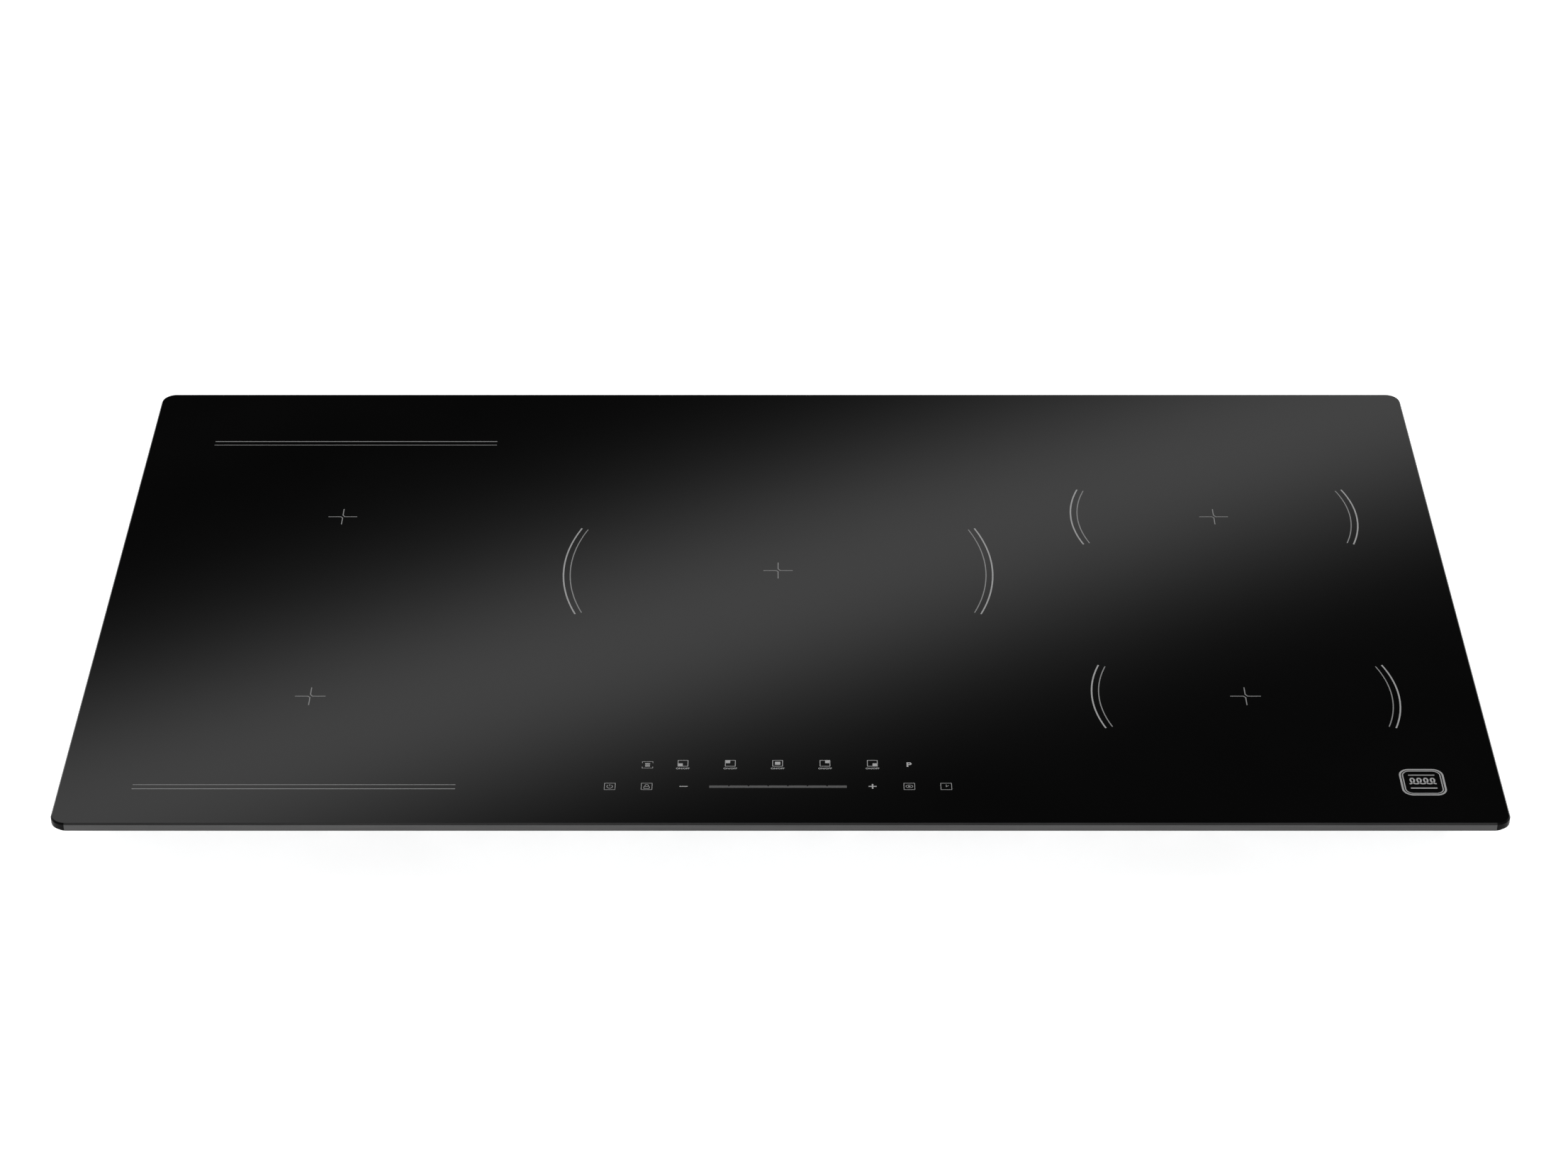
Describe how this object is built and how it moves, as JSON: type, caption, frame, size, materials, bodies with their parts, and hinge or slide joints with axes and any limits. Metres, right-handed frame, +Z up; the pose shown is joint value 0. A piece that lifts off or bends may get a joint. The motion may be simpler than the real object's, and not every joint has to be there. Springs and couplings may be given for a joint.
{
  "type": "induction cooktop",
  "caption": "Built-in induction cooktop: black ceramic glass with printed zones and touch controls over a shallow steel pan with sprung coils, blowers and swivelling worktop clamps.",
  "frame": {"origin": "under the middle of the glass, on the plane of the base pan's underside", "axes": "+X to the right and +Y to the rear as a cook at the controls sees it, +Z up"},
  "size_m": [0.896, 0.519, 0.052],
  "materials": {
    "black_glass": "polished black ceramic glass",
    "seal_rubber": "matt foam seal",
    "galvanised_steel": "galvanised sheet",
    "spring_steel": "rolled spring strip",
    "screw_steel": "zinc plated",
    "aluminium_sheet": "mill finish",
    "aluminium_extrusion": "extruded",
    "enamelled_wire": "copper-coloured enamelled litz wire",
    "former_plastic": "moulded heat-resistant plastic",
    "ferrite": "sintered",
    "mica": "mica paper board",
    "probe_ceramic": "unglazed",
    "circuit_board": "solder mask",
    "capacitor_plastic": "moulded",
    "terminal_plastic": "moulded",
    "black_plastic": "moulded with a fine grain"
  },
  "bodies": {
    "hob": {"glass_top": "black_glass", "glass_seal": "seal_rubber", "glass_frame": "galvanised_steel", "base_pan": "galvanised_steel", "plate_spring_left_rear": "spring_steel", "plate_spring_left_front": "spring_steel", "plate_spring_center_rear": "spring_steel", "plate_spring_center_front": "spring_steel", "plate_spring_right_rear": "spring_steel", "plate_spring_right_front": "spring_steel", "inverter_board_left": "circuit_board", "inverter_board_right": "circuit_board", "heatsink_left": "aluminium_extrusion", "heatsink_right": "aluminium_extrusion", "blower_housing_left": "black_plastic", "blower_housing_right": "black_plastic", "filter_board": "circuit_board", "filter_choke": "enamelled_wire", "filter_capacitor": "capacitor_plastic", "touch_board": "circuit_board", "touch_holder": "black_plastic", "terminal_block": "terminal_plastic", "cable_gland": "black_plastic"},
    "coil_carrier_left": {"coil_plate_left": "aluminium_sheet", "ferrite_star_rear_left": "ferrite", "coil_former_rear_left": "former_plastic", "coil_winding_rear_left": "enamelled_wire", "temperature_sensor_rear_left": "probe_ceramic", "ferrite_star_front_left": "ferrite", "coil_former_front_left": "former_plastic", "coil_winding_front_left": "enamelled_wire", "temperature_sensor_front_left": "probe_ceramic", "mica_sheet_left": "mica"},
    "coil_carrier_center": {"coil_plate_center": "aluminium_sheet", "ferrite_star_center": "ferrite", "coil_former_center": "former_plastic", "coil_winding_center": "enamelled_wire", "temperature_sensor_center": "probe_ceramic", "mica_sheet_center": "mica"},
    "coil_carrier_right": {"coil_plate_right": "aluminium_sheet", "ferrite_star_rear_right": "ferrite", "coil_former_rear_right": "former_plastic", "coil_winding_rear_right": "enamelled_wire", "temperature_sensor_rear_right": "probe_ceramic", "ferrite_star_front_right": "ferrite", "coil_former_front_right": "former_plastic", "coil_winding_front_right": "enamelled_wire", "temperature_sensor_front_right": "probe_ceramic", "mica_sheet_right": "mica"},
    "impeller_left": {"blower_impeller_left": "black_plastic"},
    "impeller_right": {"blower_impeller_right": "black_plastic"},
    "terminal_cover": {"terminal_cover": "black_plastic"},
    "clamp_screw_rear_left": {"clamp_screw_rear_left": "screw_steel"},
    "clamp_bracket_rear_left": {"clamp_bracket_rear_left": "galvanised_steel"},
    "clamp_screw_rear_right": {"clamp_screw_rear_right": "screw_steel"},
    "clamp_bracket_rear_right": {"clamp_bracket_rear_right": "galvanised_steel"},
    "clamp_screw_front_left": {"clamp_screw_front_left": "screw_steel"},
    "clamp_bracket_front_left": {"clamp_bracket_front_left": "galvanised_steel"},
    "clamp_screw_front_right": {"clamp_screw_front_right": "screw_steel"},
    "clamp_bracket_front_right": {"clamp_bracket_front_right": "galvanised_steel"}
  },
  "joints": [
    {"name": "coil_carrier_left_float", "type": "slide", "parent": "hob", "child": "coil_carrier_left", "axis": [0, 0, 1], "range_m": [-0.003, 0], "stiffness_N_per_m": 15000, "springref_m": 0.004, "deforming": ["plate_spring_left_rear", "plate_spring_left_front"]},
    {"name": "coil_carrier_center_float", "type": "slide", "parent": "hob", "child": "coil_carrier_center", "axis": [0, 0, 1], "range_m": [-0.003, 0], "stiffness_N_per_m": 15000, "springref_m": 0.004, "deforming": ["plate_spring_center_rear", "plate_spring_center_front"]},
    {"name": "coil_carrier_right_float", "type": "slide", "parent": "hob", "child": "coil_carrier_right", "axis": [0, 0, 1], "range_m": [-0.003, 0], "stiffness_N_per_m": 15000, "springref_m": 0.004, "deforming": ["plate_spring_right_rear", "plate_spring_right_front"]},
    {"name": "blower_left_spin", "type": "hinge", "parent": "hob", "child": "impeller_left", "pos_m": [-0.25, 0.165, 0.012], "axis": [0, 0, 1], "continuous": true},
    {"name": "blower_right_spin", "type": "hinge", "parent": "hob", "child": "impeller_right", "pos_m": [0.25, 0.165, 0.012], "axis": [0, 0, 1], "continuous": true},
    {"name": "terminal_cover_hinge", "type": "hinge", "parent": "hob", "child": "terminal_cover", "pos_m": [0.365, 0.2436, 0.038], "axis": [1, 0, 0], "range_deg": [0, 90]},
    {"name": "clamp_rear_left_lift", "type": "slide", "parent": "hob", "child": "clamp_screw_rear_left", "axis": [0, 0, 1], "range_m": [0, 0.007]},
    {"name": "clamp_rear_left_swivel", "type": "hinge", "parent": "clamp_screw_rear_left", "child": "clamp_bracket_rear_left", "pos_m": [-0.412, 0.19, 0.0044], "axis": [0, 0, -1], "range_deg": [0, 90]},
    {"name": "clamp_rear_right_lift", "type": "slide", "parent": "hob", "child": "clamp_screw_rear_right", "axis": [0, 0, 1], "range_m": [0, 0.007]},
    {"name": "clamp_rear_right_swivel", "type": "hinge", "parent": "clamp_screw_rear_right", "child": "clamp_bracket_rear_right", "pos_m": [0.412, 0.19, 0.0044], "axis": [0, 0, 1], "range_deg": [0, 90]},
    {"name": "clamp_front_left_lift", "type": "slide", "parent": "hob", "child": "clamp_screw_front_left", "axis": [0, 0, 1], "range_m": [0, 0.007]},
    {"name": "clamp_front_left_swivel", "type": "hinge", "parent": "clamp_screw_front_left", "child": "clamp_bracket_front_left", "pos_m": [-0.412, -0.15, 0.0044], "axis": [0, 0, 1], "range_deg": [0, 90]},
    {"name": "clamp_front_right_lift", "type": "slide", "parent": "hob", "child": "clamp_screw_front_right", "axis": [0, 0, 1], "range_m": [0, 0.007]},
    {"name": "clamp_front_right_swivel", "type": "hinge", "parent": "clamp_screw_front_right", "child": "clamp_bracket_front_right", "pos_m": [0.412, -0.15, 0.0044], "axis": [0, 0, -1], "range_deg": [0, 90]}
  ]
}
